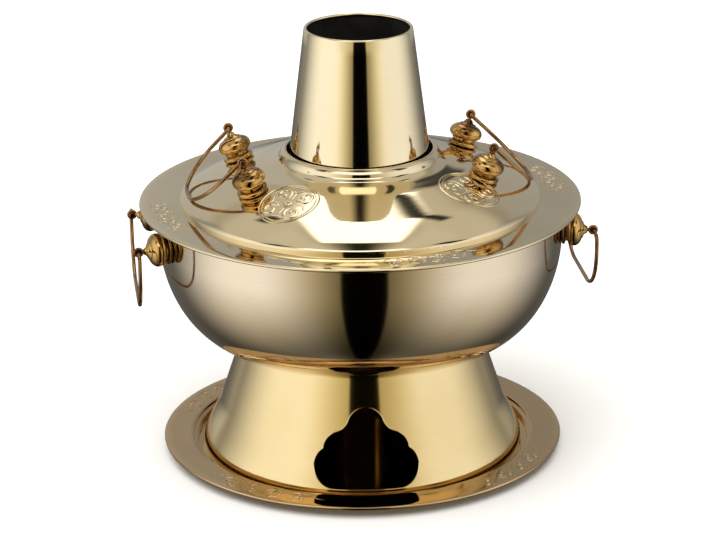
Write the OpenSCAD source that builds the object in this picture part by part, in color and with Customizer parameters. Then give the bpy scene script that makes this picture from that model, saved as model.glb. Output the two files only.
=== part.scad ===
// Chimney hot pot: a charcoal pot on a tray, with a lift-off lid round its chimney.
// Every sheet-metal piece is an outline [radius, height] spun round the upright axis.
// Millimetres, +Z up, the tray rests on Z = 0 and the pot's front faces -Y.

/* [Tray] */
// Outer radius of the tray's flange
tray_r = 165.5; // [158:0.5:175]
// Height of the flange's top face above the table
tray_h = 10; // [8:0.5:14]
// Inner radius of the flange, where the well begins
tray_flange_in_r = 141.2; // [139:0.2:146]
// Drop from the flange to the ledge inside the well
tray_ledge_drop = 2.8; // [2:0.2:4]
// Width of the ledge inside the well
tray_ledge_w = 2.8; // [2:0.2:3.6]
// Radius of the rolled edge of the tray
tray_bead_r = 1.3; // [1:0.1:1.8]
// Thickness of the tray's sheet
tray_sheet = 1; // [0.8:0.1:1.5]

/* [Foot] */
// Outer radius of the foot where it stands in the tray
foot_bottom_r = 132.4; // [126:0.2:135]
// Outer radius of the foot where it meets the bowl
foot_top_r = 98.5; // [94:0.5:102]
// Height of the foot
foot_h = 95.7; // [88:0.1:105]
// Height of the upright hem at the bottom of the foot
foot_hem_h = 5; // [3:0.5:8]
// Height at which the foot's straight cone turns into its flare
foot_flare_h = 40; // [30:1:50]
// Width of the flange that joins the foot to the bowl
foot_flange_w = 10; // [6:1:14]
// Thickness of the foot's sheet
foot_sheet = 1; // [0.8:0.1:1.5]

/* [Draught vent] */
// Height of the vent's flat sill above the foot's bottom edge
vent_sill = 8.9; // [7:0.1:12]
// Half width of the vent at its lower lobes
vent_half_w = 42.1; // [38:0.1:46]
// Radius of the two lower lobes
vent_low_r = 15.6; // [14:0.2:17]
// Half width of the vent at its upper lobes
vent_up_half_w = 34.7; // [32:0.1:37]
// Height of the upper lobes' centres above the lower ones
vent_lobe_rise = 11.3; // [9:0.1:14]
// Radius of the two upper lobes
vent_up_r = 16.4; // [15:0.2:18]
// Radius of the arch at the top of the vent
vent_arch_r = 15; // [13:0.5:17]
// Radius of the two hollows between the arch and the upper lobes
vent_hollow_r = 13.6; // [12:0.2:15]
// Height of the vent from its sill to the crown of its arch
vent_h = 61.3; // [58:0.1:66]
// Angle of the vent to the right of the front
vent_turn = 1.4; // [-5:0.2:5]

/* [Bowl] */
// Outer radius of the bowl's upright wall
bowl_r = 165.1; // [158:0.1:168]
// Height of the bowl, from its floor's underside to the rim ring's underside
bowl_h = 115.7; // [105:0.1:125]
// Height of the upright part of the wall
bowl_wall_h = 26.2; // [22:0.2:32]
// Reach of the round bottom along the floor
bowl_curve_reach = 44; // [38:1:50]
// Reach of the round bottom up the wall
bowl_curve_rise = 40.4; // [34:0.2:48]
// Thickness of the bowl's sheet
bowl_sheet = 1.2; // [1:0.1:1.6]

/* [Rim ring] */
// Outer radius of the rim ring
rim_r = 180; // [174:0.5:185]
// Radius of the opening in the rim ring
rim_open_r = 141; // [139:0.5:142]
// Thickness of the rim ring's sheet
rim_sheet = 1.2; // [1:0.1:1.6]
// Radius of the rolled edge of the rim ring
rim_bead_r = 1.4; // [1.2:0.1:1.8]
// Depth of the hem turned down round the opening
rim_hem = 3.5; // [2.5:0.5:5]

/* [Chimney] */
// Outer radius of the chimney at its top
chimney_top_r = 43.9; // [41:0.1:46]
// Height of the chimney above the rim ring
chimney_rise = 142.9; // [130:0.1:155]
// Half angle of the chimney's cone
chimney_taper = 7.15; // [6.8:0.05:7.4]
// Depth of the firebox below the bowl's floor
firebox_drop = 11; // [9:0.5:14]
// Thickness of the chimney's wall
chimney_sheet = 1.2; // [1:0.1:1.6]
// Radius of the rolled rim at the top of the chimney
chimney_bead_r = 1.3; // [1.2:0.1:1.8]

/* [Grate] */
// Thickness of the charcoal grate
grate_t = 3; // [2.5:0.5:4]
// Width of each slot in the grate
grate_slot_w = 5; // [4:0.5:6]
// Distance between the middles of two slots
grate_pitch = 11; // [10:0.5:13]
// Width of the solid border round the slots
grate_border = 9; // [8:0.5:12]
// Height of the ring that carries the grate
grate_ring_h = 4; // [3:0.5:5]
// Width of the ledge on that ring
grate_ring_w = 6; // [5:0.5:8]

/* [Lid] */
// Reach of the lid's lower edge beyond the rim ring's opening
lid_overlap = 6; // [4:0.2:8]
// Radius of the hole that the chimney passes through
lid_hole_r = 59.6; // [59.2:0.1:61]
// Height of the lid's neck lip above the rim ring
lid_h = 42.7; // [40:0.1:46]
// Slope of the lid's plateau, where the handle posts stand
lid_slope = 19; // [17:0.5:20.5]
// Width of the lid's round shoulder, outside its plateau
lid_shoulder_w = 29; // [26:0.5:31]
// Height of that turn above the rim ring
lid_shoulder_h = 18.6; // [17.4:0.1:20]
// Width of the cove between the lid's plateau and its neck
lid_cove_w = 24.6; // [21:0.2:27]
// Distance from the lid's hole to the outside of its neck
lid_neck_w = 5.8; // [4.6:0.1:7]
// Thickness of the lid's sheet
lid_sheet = 1; // [0.8:0.1:1.4]
// Depth of the locating skirt inside the rim ring's opening
skirt_depth = 6; // [4.5:0.5:9]
// Gap between the skirt and the rim ring's opening
skirt_gap = 1.2; // [0.8:0.1:1.6]

/* [Handle posts] */
// Diameter of the onion-shaped bead
onion_d = 27; // [25:0.5:29]
// Height of the onion bead below its widest ring
onion_low_h = 5; // [4:0.5:6]
// Height of the onion bead above its widest ring
onion_up_h = 10.8; // [9.6:0.2:12]
// Diameter of the lower bead
bead_d = 25; // [22:0.5:26]
// Height of the lower bead on the lid
lid_bead_h = 4.8; // [4:0.2:6.4]
// Height of the lower bead on the bowl
bowl_bead_h = 3.4; // [3:0.2:6]
// Diameter of the stepped collar between the two beads
collar_d = 20; // [17:0.5:22]
// Height of the collar on a lid post
lid_collar_h = 2.4; // [2:0.2:3.4]
// Height of the collar on a bowl post
bowl_collar_h = 1.4; // [1:0.1:2]
// Diameter of the post's shank
shank_d = 4; // [3.5:0.1:4.5]
// Distance from the onion bead's tip to the middle of the eye
eye_reach = 4.6; // [4.3:0.1:5.4]
// Radius of the ring that the eye is made from
eye_wire_r = 1.25; // [1.1:0.05:1.3]
// Distance between the two eyes of a handle
eye_span = 96; // [92:0.5:104]
// Height of the bowl handles' eyes above the bowl's floor
bowl_eye_h = 94.6; // [90:0.1:98]
// Radius of the circle on the lid where the posts stand
lid_post_r = 103.2; // [101:0.2:106]
// Turn of the two lid handles round the pot
lid_turn = 9; // [0:1:20]
// Turn of the two bowl handles round the pot
bowl_turn = 7; // [0:1:20]

/* [Bails] */
// Diameter of the bail's wire
wire_d = 3.2; // [2.6:0.1:3.4]
// Reach of a lid bail from its hinge line to its bottom bar
lid_bail_reach = 55.8; // [50:0.2:57]
// Radius of the two big corners of a lid bail
lid_bail_corner_r = 39; // [30:1:41]
// Radius of the tight bend of a lid bail, between its two eyes
lid_bail_bend_r = 2.3; // [2.2:0.1:3]
// Reach of a bowl bail from its hinge line to its bottom bar
bowl_bail_reach = 50; // [48:0.5:56]
// Width of a bowl bail, which bulges past its two eyes
bowl_bail_w = 128; // [125:0.5:134]
// Radius of the two big corners of a bowl bail
bowl_bail_corner_r = 38; // [28:1:40]
// Radius of the bend of a bowl bail outside each eye
bowl_bail_bend_r = 6; // [3:0.5:7]
// Diameter of the peened head on each wire end
bail_head_d = 4.6; // [4.2:0.1:5.4]
// Thickness of the peened head
bail_head_t = 1.2; // [0.8:0.1:1.6]
// Sideways play of the wire's end between its bend and its head
bail_side_play = 0.6; // [0.4:0.1:1]

/* [Fasteners] */
// Width across the flats of the nuts
nut_af = 7; // [6.5:0.5:8]
// Height of the nuts
nut_h = 3.2; // [2.5:0.1:4]
// Diameter of the washers
washer_d = 12; // [11:0.5:14]
// Thickness of the washers
washer_t = 0.8; // [0.6:0.1:1.2]

/* [Fits] */
// Radial play of a bail's wire in its eye
eye_play = 0.06; // [0.05:0.01:0.08]
// Radial play of a post's shank in its beads
bead_play = 0.1; // [0.05:0.05:0.2]
// Radial play of a post's shank in the sheet
hole_play = 0.25; // [0.2:0.05:0.5]
// Gap between two faces that only lie against each other
seat_gap = 0.05; // [0.02:0.01:0.1]
// Gap between a resting bail and the lid
rest_gap = 0.3; // [0.2:0.05:0.5]

/* [Hidden] */
GOLD = [0.86, 0.76, 0.52];
CHAMPAGNE = [0.72, 0.66, 0.54];
BRONZE = [0.62, 0.53, 0.40];
ANTIQUE = [0.62, 0.43, 0.20];
STEEL = [0.70, 0.70, 0.72];
SOOT = [0.20, 0.19, 0.18];
round_fn = 96;
curve_steps = 12;
past = 1;

foot_z = tray_sheet;
bowl_z = foot_z + foot_h;
rim_z = bowl_z + bowl_h;
rim_top = rim_z + rim_sheet;
chimney_top = rim_top + chimney_rise;
firebox_z = bowl_z - firebox_drop;
lid_top = rim_top + lid_h;
lid_r = rim_open_r + lid_overlap;
lid_shoulder_r = lid_r - lid_shoulder_w;

plateau_fall = tan(lid_slope);
neck_r = lid_hole_r + lid_neck_w;
neck_h = lid_h - 0.86 * lid_neck_w;
lid_cove_r = neck_r + lid_cove_w;
cove_h = lid_shoulder_h + (lid_shoulder_r - lid_cove_r) * plateau_fall;
lid_post_z = rim_top + lid_shoulder_h + (lid_shoulder_r - lid_post_r) * plateau_fall;

onion_h = onion_low_h + onion_up_h;
wire_r = wire_d / 2;
shank_r = shank_d / 2;
eye_hole_r = wire_r + eye_play;
eye_ring_r = eye_hole_r + eye_wire_r;
lid_stack = lid_collar_h + lid_bead_h + onion_h;
bowl_stack = bowl_collar_h + bowl_bead_h + onion_h;
lid_eye_h = lid_stack + eye_reach;
bowl_eye_out = bowl_stack + eye_reach;
lid_eye_r = lid_post_r + lid_eye_h * sin(lid_slope);
lid_eye_z = lid_post_z + lid_eye_h * cos(lid_slope);
bowl_eye_r = bowl_r + bowl_eye_out;
bowl_eye_z = bowl_z + bowl_eye_h;
lid_spread = asin(eye_span / 2 / lid_eye_r);
bowl_spread = asin(eye_span / 2 / bowl_eye_r);
lid_hinge_x = lid_eye_r * cos(lid_spread);
bowl_hinge_x = bowl_eye_r * cos(bowl_spread);

// ---- outlines ----

// Points of a smooth curve from a to d that leaves towards b and arrives from c
function curve(a, b, c, d, steps = curve_steps) = [
    for (i = [0:steps])
        let (t = i / steps, s = 1 - t)
        a * s * s * s + 3 * b * s * s * t + 3 * c * s * t * t + d * t * t * t
];

function unit(v) = v / norm(v);

// Direction of the outline just before and just after point i
function before(p, i) = unit(i == 0 ? p[1] - p[0] : p[i] - p[i - 1]);
function after(p, i) = unit(i == len(p) - 1 ? p[i] - p[i - 1] : p[i + 1] - p[i]);

// The same outline, moved sideways by t to its left, with sharp corners kept
function beside(p, t) = [
    for (i = [0:len(p) - 1])
        let (u = before(p, i), v = after(p, i))
        let (across = [-u[1] - v[1], u[0] + v[0]])
        p[i] + across * t / (1 + u * v)
];

function reversed(p) = [for (i = [len(p) - 1:-1:0]) p[i]];

// An outline without its first point, to follow one that ends there
function tail(p) = [for (i = [1:len(p) - 1]) p[i]];

// Closed section of a sheet of thickness t on the left of an outline
function sheet(p, t) = concat(p, reversed(beside(p, t)));

module spun(section) {
    rotate_extrude($fn = round_fn) polygon(section);
}

module torus(ring_r, tube_r) {
    rotate_extrude($fn = round_fn) translate([ring_r, 0]) circle(tube_r, $fn = 32);
}

// Ring-shaped plate
module disc(outer_r, inner_r, h) {
    difference() {
        cylinder(h = h, r = outer_r, $fn = round_fn);
        translate([0, 0, -past]) cylinder(h = h + 2 * past, r = inner_r, $fn = round_fn);
    }
}

// ---- tray ----

tray_lean = 0.4 * tray_sheet;
well_r = tray_flange_in_r - tray_ledge_w - 2 * tray_lean;
tray_outline = [
    [0, tray_sheet],
    [well_r, tray_sheet],
    [well_r + tray_lean, tray_h - tray_ledge_drop],
    [tray_flange_in_r - tray_lean, tray_h - tray_ledge_drop],
    [tray_flange_in_r, tray_h],
    [tray_r - tray_bead_r, tray_h]
];

module base_tray() {
    color(BRONZE) {
        spun(sheet(tray_outline, -tray_sheet));
        translate([0, 0, tray_h - tray_bead_r]) torus(tray_r - tray_bead_r, tray_bead_r);
    }
}

// ---- foot ----

cone_fall = 0.94 * (foot_bottom_r - foot_top_r) / foot_h;
flare_pull = 0.34 * (foot_flare_h - foot_hem_h);
flare_r = foot_top_r + (foot_h - foot_flare_h) * cone_fall;
foot_outline = concat(
    [[foot_top_r - foot_flange_w, foot_h], [foot_top_r, foot_h]],
    curve([flare_r, foot_flare_h], [flare_r + flare_pull * cone_fall, foot_flare_h - flare_pull],
          [foot_bottom_r - 0.1 * flare_pull, foot_hem_h + flare_pull], [foot_bottom_r, foot_hem_h]),
    [[foot_bottom_r, 0]]
);

// Centre of a circle of radius r that touches the circles round a and b from their left
function touching(a, ra, b, rb, r) =
    let (d = norm(b - a), along = (pow(ra + r, 2) - pow(rb + r, 2) + d * d) / (2 * d))
    let (aside = sqrt(pow(ra + r, 2) - along * along), u = unit(b - a))
    a + u * along + [-u[1], u[0]] * aside;

vent_low = [vent_half_w - vent_low_r, vent_sill + vent_low_r];
vent_up = [vent_up_half_w - vent_up_r, vent_low[1] + vent_lobe_rise];
vent_arch = [0, vent_sill + vent_h - vent_arch_r];
vent_hollow = touching(vent_arch, vent_arch_r, vent_up, vent_up_r, vent_hollow_r);

module vent_shape() {
    for (side = [0, 1]) mirror([side, 0]) {
        translate([0, vent_sill]) square([vent_low[0], 2 * vent_low_r]);
        translate(vent_low) circle(vent_low_r, $fn = 64);
        translate(vent_up) circle(vent_up_r, $fn = 64);
        difference() {
            polygon([[0, vent_sill], [vent_up[0], vent_sill], vent_up, vent_hollow, vent_arch]);
            translate(vent_hollow) circle(vent_hollow_r, $fn = 64);
        }
    }
    translate(vent_arch) circle(vent_arch_r, $fn = 64);
}

module foot_shell() {
    color(GOLD) translate([0, 0, foot_z]) difference() {
        spun(sheet(foot_outline, -foot_sheet));
        rotate([0, 0, vent_turn]) translate([0, -foot_top_r / 2, 0]) rotate([90, 0, 0])
            linear_extrude(foot_bottom_r) vent_shape();
    }
}

// ---- bowl and rim ring ----

// Outer radius of the chimney's cone at height z
function cone_r(z) = chimney_top_r + (chimney_top - z) * tan(chimney_taper);

bowl_outline = concat(
    [[cone_r(bowl_z) + seat_gap, bowl_z]],
    curve([foot_top_r, bowl_z], [foot_top_r + bowl_curve_reach, bowl_z],
          [bowl_r, rim_z - bowl_wall_h - bowl_curve_rise], [bowl_r, rim_z - bowl_wall_h], 18),
    [[bowl_r, rim_z]]
);

module bowl_shell() {
    color(CHAMPAGNE) difference() {
        spun(sheet(bowl_outline, bowl_sheet));
        for (side = [0, 180], way = [-1, 1])
            rotate([0, 0, side + bowl_turn + way * bowl_spread])
                translate([bowl_r - 5 * bowl_sheet, 0, bowl_eye_z]) rotate([0, 90, 0])
                    cylinder(h = 10 * bowl_sheet, r = shank_r + hole_play, $fn = 32);
    }
}

module rim_ring() {
    color(CHAMPAGNE) {
        translate([0, 0, rim_z]) disc(rim_r - rim_bead_r, rim_open_r, rim_sheet);
        translate([0, 0, rim_z - rim_hem]) disc(rim_open_r + rim_sheet, rim_open_r, rim_hem + rim_sheet / 2);
        translate([0, 0, rim_top - rim_bead_r]) torus(rim_r - rim_bead_r, rim_bead_r);
    }
}

// ---- chimney, grate and the ring that carries it ----

chimney_section = [
    [cone_r(firebox_z), firebox_z],
    [cone_r(chimney_top - chimney_bead_r), chimney_top - chimney_bead_r],
    [cone_r(chimney_top - chimney_bead_r) - chimney_sheet, chimney_top - chimney_bead_r],
    [cone_r(firebox_z) - chimney_sheet, firebox_z]
];

module chimney() {
    color(GOLD) {
        spun(chimney_section);
        translate([0, 0, chimney_top - chimney_bead_r]) torus(chimney_top_r - chimney_bead_r, chimney_bead_r);
    }
}

function flue_r(z) = cone_r(z) - chimney_sheet - seat_gap;
grate_z = firebox_z + grate_ring_h;

module grate_ring() {
    color(SOOT) spun([
        [flue_r(firebox_z) - grate_ring_w, firebox_z],
        [flue_r(firebox_z), firebox_z],
        [flue_r(grate_z), grate_z],
        [flue_r(firebox_z) - grate_ring_w, grate_z]
    ]);
}

module slot(length, width) {
    translate([-length / 2, -width / 2]) square([length, width]);
    for (end = [-1, 1]) translate([end * length / 2, 0]) circle(width / 2, $fn = 24);
}

module grate() {
    plate_r = flue_r(grate_z + grate_t) - 0.4;
    slots_r = plate_r - grate_border;
    rows = floor(slots_r / grate_pitch);
    color(SOOT) translate([0, 0, grate_z]) linear_extrude(grate_t) difference() {
        circle(plate_r, $fn = round_fn);
        for (row = [-rows:rows])
            translate([0, row * grate_pitch])
                slot(2 * sqrt(slots_r * slots_r - pow(row * grate_pitch, 2)) - grate_slot_w, grate_slot_w);
    }
}

// ---- lid ----

shoulder_pull = 0.28 * lid_shoulder_w;
cove_pull = 0.4 * lid_cove_w;
lid_outline = concat(
    [[lid_r, 0]],
    curve([lid_r, 0.1 * lid_shoulder_h], [lid_r - 0.4, 0.38 * lid_shoulder_h],
          [lid_shoulder_r + shoulder_pull, lid_shoulder_h - shoulder_pull * plateau_fall],
          [lid_shoulder_r, lid_shoulder_h]),
    curve([lid_cove_r, cove_h], [lid_cove_r - cove_pull, cove_h + cove_pull * plateau_fall],
          [neck_r + 0.06 * lid_cove_w, neck_h - 0.27 * lid_cove_w], [neck_r, neck_h]),
    curve([neck_r - 0.1 * lid_neck_w, neck_h + 0.2 * lid_neck_w],
          [neck_r - 0.33 * lid_neck_w, neck_h + 0.67 * lid_neck_w],
          [lid_hole_r + 0.41 * lid_neck_w, lid_h], [lid_hole_r, lid_h - 0.1 * lid_neck_w], 6)
);

// Places its child at each of the four lid posts, with +Z out of the lid
module at_lid_posts() {
    for (side = [0, 180], way = [-1, 1])
        rotate([0, 0, side + lid_turn + way * lid_spread])
            translate([lid_post_r, 0, lid_post_z]) rotate([0, lid_slope, 0]) children();
}

module lid_shell() {
    color(CHAMPAGNE) difference() {
        translate([0, 0, rim_top]) spun(sheet(lid_outline, lid_sheet));
        at_lid_posts() translate([0, 0, -4 * lid_sheet])
            cylinder(h = 8 * lid_sheet, r = shank_r + hole_play, $fn = 32);
    }
}

module lid_skirt() {
    skirt_r = rim_open_r - skirt_gap;
    color(STEEL) {
        translate([0, 0, rim_top]) disc(lid_r - lid_sheet - 0.1, skirt_r - lid_sheet, lid_sheet);
        translate([0, 0, rim_top - skirt_depth]) disc(skirt_r, skirt_r - lid_sheet, skirt_depth + lid_sheet / 2);
    }
}

// ---- handle posts ----
// A post is built along +Z from the outer face of the sheet that it stands on.

module onion(z) {
    bore = shank_r + bead_play;
    wide = onion_d / 2;
    neck = wide / 2;
    low = onion_low_h;
    up = onion_up_h;
    belly = z + low;
    spun(concat(
        [[bore, z], [wide * 0.72, z], [wide * 0.84, z + low * 0.1]],
        curve([wide * 0.86, z + low * 0.2], [wide * 0.97, z + low * 0.4], [wide, belly - low * 0.3], [wide, belly], 6),
        tail(curve([wide, belly], [wide, belly + up * 0.32], [wide * 0.74, belly + up * 0.54],
                   [neck * 1.09, belly + up * 0.59], 8)),
        [[neck, belly + up * 0.65], [neck * 0.91, belly + up * 0.7], [neck * 0.7, belly + up * 0.72]],
        [[shank_r * 1.3, z + onion_h], [bore, z + onion_h]]
    ));
}

module lower_bead(z, h) {
    bore = shank_r + bead_play;
    wide = bead_d / 2;
    spun(concat(
        [[bore, z], [wide * 0.78, z]],
        curve([wide * 0.85, z + h * 0.03], [wide * 0.96, z + h * 0.12], [wide, z + h * 0.26], [wide, z + h * 0.44], 8),
        tail(curve([wide, z + h * 0.44], [wide, z + h * 0.74], [wide * 0.9, z + h * 0.94], [wide * 0.7, z + h], 8)),
        [[bore, z + h]]
    ));
}

module collar(z, h) {
    bore = shank_r + bead_play;
    ring = collar_d / 2;
    spun([
        [bore, z],
        [ring * 0.9, z],
        [ring * 0.96, z + h * 0.1],
        [ring * 0.96, z + h * 0.32],
        [ring * 0.86, z + h * 0.4],
        [ring * 0.86, z + h * 0.52],
        [ring, z + h * 0.6],
        [ring, z + h * 0.88],
        [ring * 0.94, z + h],
        [bore, z + h]
    ]);
}

module shank(inner, outer) {
    translate([0, 0, -inner]) cylinder(h = inner + outer - past, r = shank_r, $fn = 32);
    translate([0, 0, outer - past - 0.5]) cylinder(h = eye_reach - eye_ring_r + past + 0.5, r = shank_r * 0.75, $fn = 32);
}

module eye(at) {
    translate(at) rotate([90, 0, 0]) torus(eye_ring_r, eye_wire_r);
}

fastener_depth = washer_t + 1.45 * nut_h;

module lid_eyebolt(way) {
    rotate([0, 0, way * lid_spread]) translate([lid_post_r, 0, lid_post_z]) rotate([0, lid_slope, 0])
        shank(lid_sheet + fastener_depth, lid_stack);
    eye([lid_hinge_x, way * eye_span / 2, lid_eye_z]);
}

module bowl_eyebolt(way) {
    rotate([0, 0, way * bowl_spread]) translate([bowl_r, 0, bowl_eye_z]) rotate([0, 90, 0])
        shank(bowl_sheet + fastener_depth, bowl_stack);
    eye([bowl_hinge_x, way * eye_span / 2, bowl_eye_z]);
}

// Places its child on one lid or bowl post: side 0 is right, side 180 is left
module on_lid(side, way) {
    rotate([0, 0, side + lid_turn + way * lid_spread])
        translate([lid_post_r, 0, lid_post_z]) rotate([0, lid_slope, 0]) children();
}

module on_bowl(side, way) {
    rotate([0, 0, side + bowl_turn + way * bowl_spread])
        translate([bowl_r, 0, bowl_eye_z]) rotate([0, 90, 0]) children();
}

module nut() {
    difference() {
        cylinder(h = nut_h, r = nut_af / 2 / cos(30), $fn = 6);
        translate([0, 0, -past]) cylinder(h = nut_h + 2 * past, r = shank_r + hole_play / 2, $fn = 32);
    }
}

// Washer and nut below a sheet of thickness t
module washer_below(t) {
    translate([0, 0, -t - seat_gap - washer_t]) disc(washer_d / 2, shank_r + hole_play, washer_t);
}

module nut_below(t) {
    translate([0, 0, -t - seat_gap - washer_t - nut_h]) nut();
}

module all_lid_posts() {
    for (side = [0, 180], way = [-1, 1]) on_lid(side, way) children();
}

module all_bowl_posts() {
    for (side = [0, 180], way = [-1, 1]) on_bowl(side, way) children();
}

module lid_collars() { color(ANTIQUE) all_lid_posts() collar(lid_bead_h, lid_collar_h); }
module lid_washers() { color(STEEL) all_lid_posts() washer_below(lid_sheet); }
module lid_nuts() { color(STEEL) all_lid_posts() nut_below(lid_sheet); }
module bowl_collars() { color(ANTIQUE) all_bowl_posts() collar(bowl_bead_h, bowl_collar_h); }
module bowl_washers() { color(STEEL) all_bowl_posts() translate([0, 0, -0.1]) washer_below(bowl_sheet); }
module bowl_nuts() { color(STEEL) all_bowl_posts() translate([0, 0, -0.1]) nut_below(bowl_sheet); }

module lid_eyebolt_on(side, way) { color(ANTIQUE) rotate([0, 0, side + lid_turn]) lid_eyebolt(way); }
module bowl_eyebolt_on(side, way) { color(ANTIQUE) rotate([0, 0, side + bowl_turn]) bowl_eyebolt(way); }
module lid_onion_on(side, way) { color(ANTIQUE) on_lid(side, way) onion(lid_collar_h + lid_bead_h); }
module lid_bead_on(side, way) { color(ANTIQUE) on_lid(side, way) lower_bead(seat_gap, lid_bead_h - seat_gap); }
module bowl_onion_on(side, way) { color(ANTIQUE) on_bowl(side, way) onion(bowl_collar_h + bowl_bead_h); }
module bowl_bead_on(side, way) { color(ANTIQUE) on_bowl(side, way) lower_bead(seat_gap, bowl_bead_h - seat_gap); }

// ---- bails ----
// A bail is built round its hinge line, which is the Y axis, and hangs towards -Z.

module wire(length) {
    cylinder(h = length, r = wire_r, $fn = 32);
}

module elbow(bend_r) {
    translate([0, 0, -bend_r]) rotate([90, 0, 90])
        rotate_extrude(angle = 90, $fn = round_fn) translate([bend_r, 0]) circle(wire_r, $fn = 32);
}

// One half of a bail. Its leg stands leg_y from the middle, outside the eye (out = 1) or between the eyes (-1).
module half_bail(out, leg_y, reach, corner_r, bend_r) {
    ring_side = eye_wire_r + bail_side_play;
    bend_y = leg_y - out * bend_r;
    tip_y = eye_span / 2 - out * (ring_side + bail_head_t);
    leg_h = reach - bend_r - corner_r;
    translate([0, min(bend_y, tip_y), 0]) rotate([-90, 0, 0]) wire(abs(bend_y - tip_y));
    translate([0, min(tip_y, tip_y + out * bail_head_t), 0]) rotate([-90, 0, 0])
        cylinder(h = bail_head_t, r = bail_head_d / 2, $fn = 32);
    if (out > 0) translate([0, bend_y, 0]) elbow(bend_r);
    if (out < 0) translate([0, bend_y, 0]) mirror([0, 1, 0]) elbow(bend_r);
    translate([0, leg_y, -bend_r - leg_h]) wire(leg_h);
    translate([0, leg_y - corner_r, -bend_r - leg_h]) rotate([90, 90, 90])
        rotate_extrude(angle = 90, $fn = round_fn) translate([corner_r, 0]) circle(wire_r, $fn = 32);
    translate([0, 0, -reach]) rotate([-90, 0, 0]) wire(leg_y - corner_r);
}

module whole_bail(out, leg_y, reach, corner_r, bend_r) {
    half_bail(out, leg_y, reach, corner_r, bend_r);
    mirror([0, 1, 0]) half_bail(out, leg_y, reach, corner_r, bend_r);
}

// Angle below the horizontal at which a lid bail's bottom bar comes to rest on the lid:
// the bar is turned down in small steps until it is as near the lid as it may be
lid_line = [for (p = lid_outline) [p[0], p[1] + rim_top]];
lid_points = [
    for (i = [0:len(lid_line) - 2], t = [0, 0.25, 0.5, 0.75])
        lid_line[i] * (1 - t) + lid_line[i + 1] * t
];
function bar_at(a) = [lid_hinge_x + lid_bail_reach * cos(a), lid_eye_z - lid_bail_reach * sin(a)];
function bar_gap(a) = min([for (p = lid_points) norm(p - bar_at(a))]);
lid_bail_angle = min(concat([80], [
    for (a = [20:0.25:80])
        if (bar_gap(a) < wire_r + rest_gap) a - 0.25
]));

lid_bail_leg_y = eye_span / 2 - eye_wire_r - bail_side_play - lid_bail_bend_r;
module lid_bail(side) {
    color(ANTIQUE) rotate([0, 0, side + lid_turn]) translate([lid_hinge_x, 0, lid_eye_z])
        rotate([0, lid_bail_angle - 90, 0])
            whole_bail(-1, lid_bail_leg_y, lid_bail_reach, lid_bail_corner_r, lid_bail_bend_r);
}

module bowl_bail(side) {
    color(ANTIQUE) rotate([0, 0, side + bowl_turn]) translate([bowl_hinge_x, 0, bowl_eye_z])
        whole_bail(1, bowl_bail_w / 2, bowl_bail_reach, bowl_bail_corner_r, bowl_bail_bend_r);
}

base_tray();
foot_shell();
bowl_shell();
rim_ring();
chimney();
grate_ring();
grate();
bowl_collars();
bowl_washers();
bowl_nuts();
bowl_eyebolt_on(0, -1);  // bowl_eyebolt_right_front
bowl_eyebolt_on(0, 1);  // bowl_eyebolt_right_rear
bowl_eyebolt_on(180, 1);  // bowl_eyebolt_left_front
bowl_eyebolt_on(180, -1);  // bowl_eyebolt_left_rear
bowl_bead_on(0, -1);  // bowl_bead_right_front
bowl_bead_on(0, 1);  // bowl_bead_right_rear
bowl_bead_on(180, 1);  // bowl_bead_left_front
bowl_bead_on(180, -1);  // bowl_bead_left_rear
bowl_onion_on(0, -1);  // bowl_onion_right_front
bowl_onion_on(0, 1);  // bowl_onion_right_rear
bowl_onion_on(180, 1);  // bowl_onion_left_front
bowl_onion_on(180, -1);  // bowl_onion_left_rear
bowl_bail(0);  // bowl_bail_right
bowl_bail(180);  // bowl_bail_left
lid_shell();
lid_skirt();
lid_collars();
lid_washers();
lid_nuts();
lid_eyebolt_on(0, -1);  // lid_eyebolt_right_front
lid_eyebolt_on(0, 1);  // lid_eyebolt_right_rear
lid_eyebolt_on(180, 1);  // lid_eyebolt_left_front
lid_eyebolt_on(180, -1);  // lid_eyebolt_left_rear
lid_bead_on(0, -1);  // lid_bead_right_front
lid_bead_on(0, 1);  // lid_bead_right_rear
lid_bead_on(180, 1);  // lid_bead_left_front
lid_bead_on(180, -1);  // lid_bead_left_rear
lid_onion_on(0, -1);  // lid_onion_right_front
lid_onion_on(0, 1);  // lid_onion_right_rear
lid_onion_on(180, 1);  // lid_onion_left_front
lid_onion_on(180, -1);  // lid_onion_left_rear
lid_bail(0);  // lid_bail_right
lid_bail(180);  // lid_bail_left
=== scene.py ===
"""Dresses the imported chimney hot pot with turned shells, beaded posts, wire bails, a floor, light and a camera."""
import logging
import math
from collections.abc import Iterable, Sequence
from dataclasses import dataclass
from enum import Enum

import bmesh
import bpy
from mathutils import Matrix, Vector


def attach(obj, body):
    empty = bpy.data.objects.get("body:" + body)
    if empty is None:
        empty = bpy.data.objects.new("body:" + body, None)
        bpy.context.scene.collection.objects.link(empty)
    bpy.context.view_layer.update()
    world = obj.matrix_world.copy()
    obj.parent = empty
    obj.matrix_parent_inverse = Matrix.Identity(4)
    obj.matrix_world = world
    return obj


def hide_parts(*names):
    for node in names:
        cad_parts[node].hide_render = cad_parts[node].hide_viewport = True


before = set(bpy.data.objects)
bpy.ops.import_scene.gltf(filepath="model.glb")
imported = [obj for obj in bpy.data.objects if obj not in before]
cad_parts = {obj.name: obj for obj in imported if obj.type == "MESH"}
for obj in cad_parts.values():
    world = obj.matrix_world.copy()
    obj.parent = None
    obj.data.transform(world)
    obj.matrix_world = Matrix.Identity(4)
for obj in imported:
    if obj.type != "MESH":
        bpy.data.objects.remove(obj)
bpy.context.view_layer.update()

logging.basicConfig(level=logging.INFO, format="%(message)s")
LOG = logging.getLogger("hot_pot")

MM = 0.001
SHARP_ANGLE = 38.0
Point = tuple[float, float]
Colour = tuple[float, float, float]


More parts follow.
